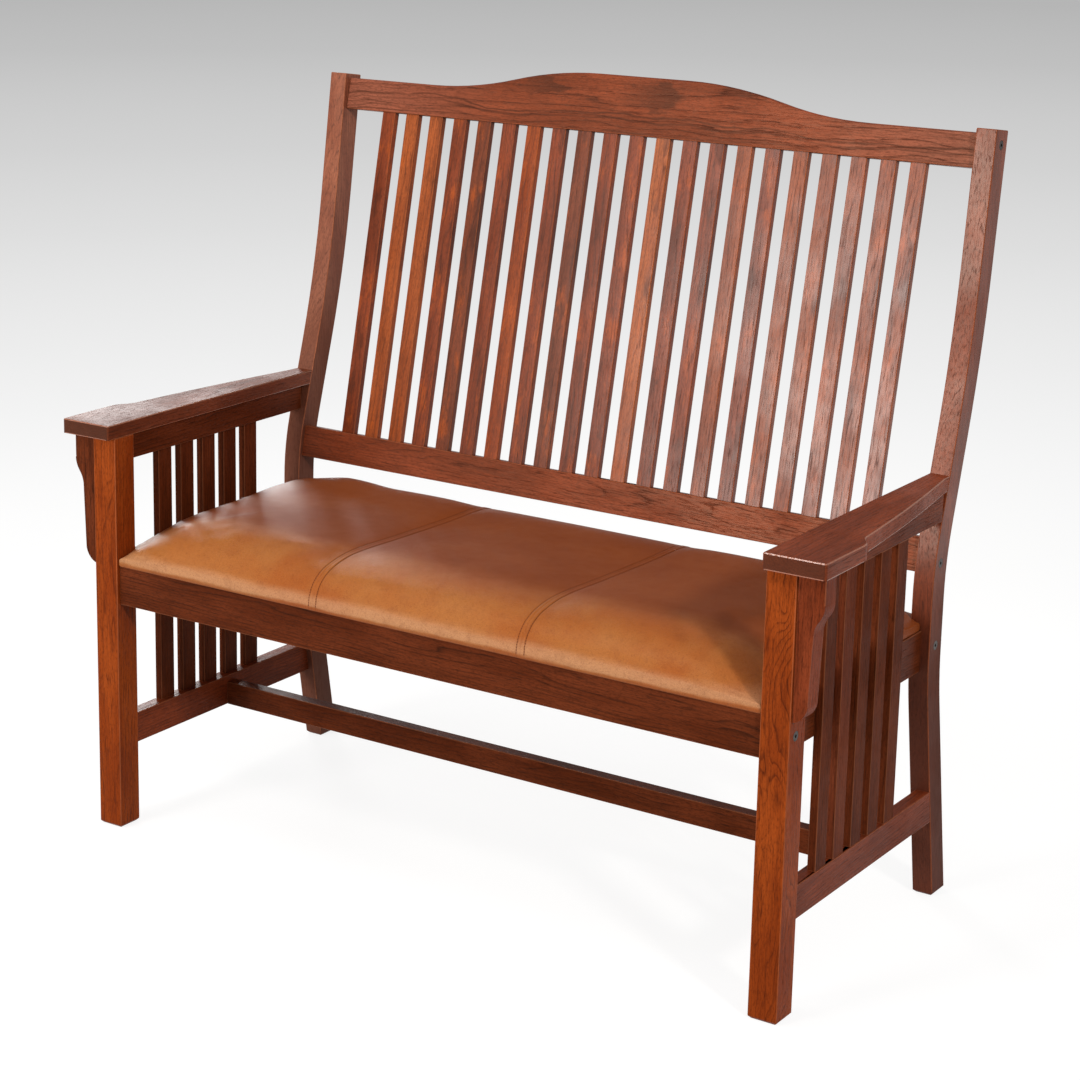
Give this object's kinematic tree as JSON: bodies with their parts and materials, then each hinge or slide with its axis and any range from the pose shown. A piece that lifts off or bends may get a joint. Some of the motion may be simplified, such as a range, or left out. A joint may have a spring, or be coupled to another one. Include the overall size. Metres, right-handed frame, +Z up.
{
  "type": "mission settle",
  "caption": "Arts and Crafts oak settle: slatted sides, raked slat back under a camel-back crest, flat arms on corbels, leather seat.",
  "frame": {"origin": "middle of the floor rectangle under the bounding box", "axes": "+X to the viewer's right as seen from the front, +Y to the back, +Z up"},
  "size_m": [1.3188, 0.651, 1.1901],
  "materials": {
    "oak": "stained reddish brown, satin",
    "leather": "aniline, satin, lightly worn",
    "plywood": "unfinished",
    "beech": "unfinished",
    "dark_steel": "black oxide",
    "zinc_steel": "zinc plated"
  },
  "bodies": {
    "root": {"arm_dowels": "beech", "arm_left": "oak", "arm_right": "oak", "back_post_left": "oak", "back_post_right": "oak", "back_seat_rail": "oak", "back_slat_01": "oak", "back_slat_02": "oak", "back_slat_03": "oak", "back_slat_04": "oak", "back_slat_05": "oak", "back_slat_06": "oak", "back_slat_07": "oak", "back_slat_08": "oak", "back_slat_09": "oak", "back_slat_10": "oak", "back_slat_11": "oak", "back_slat_12": "oak", "back_slat_13": "oak", "back_slat_14": "oak", "back_slat_15": "oak", "back_slat_16": "oak", "back_slat_17": "oak", "back_slat_18": "oak", "back_slat_19": "oak", "back_slat_20": "oak", "back_slat_21": "oak", "bolt_nuts": "zinc_steel", "center_stretcher": "oak", "connector_bolts": "dark_steel", "corbel_left": "oak", "corbel_right": "oak", "corner_blocks": "oak", "crest_rail": "oak", "front_post_left": "oak", "front_post_right": "oak", "front_seat_rail": "oak", "lower_back_rail": "oak", "lower_side_rail_left": "oak", "lower_side_rail_right": "oak", "seat_bearer": "oak", "seat_board": "plywood", "seat_cushion": "leather", "side_seat_rail_left": "oak", "side_seat_rail_right": "oak", "side_slat_left_1": "oak", "side_slat_left_2": "oak", "side_slat_left_3": "oak", "side_slat_left_4": "oak", "side_slat_left_5": "oak", "side_slat_right_1": "oak", "side_slat_right_2": "oak", "side_slat_right_3": "oak", "side_slat_right_4": "oak", "side_slat_right_5": "oak", "upper_side_rail_left": "oak", "upper_side_rail_right": "oak"}
  },
  "joints": []
}
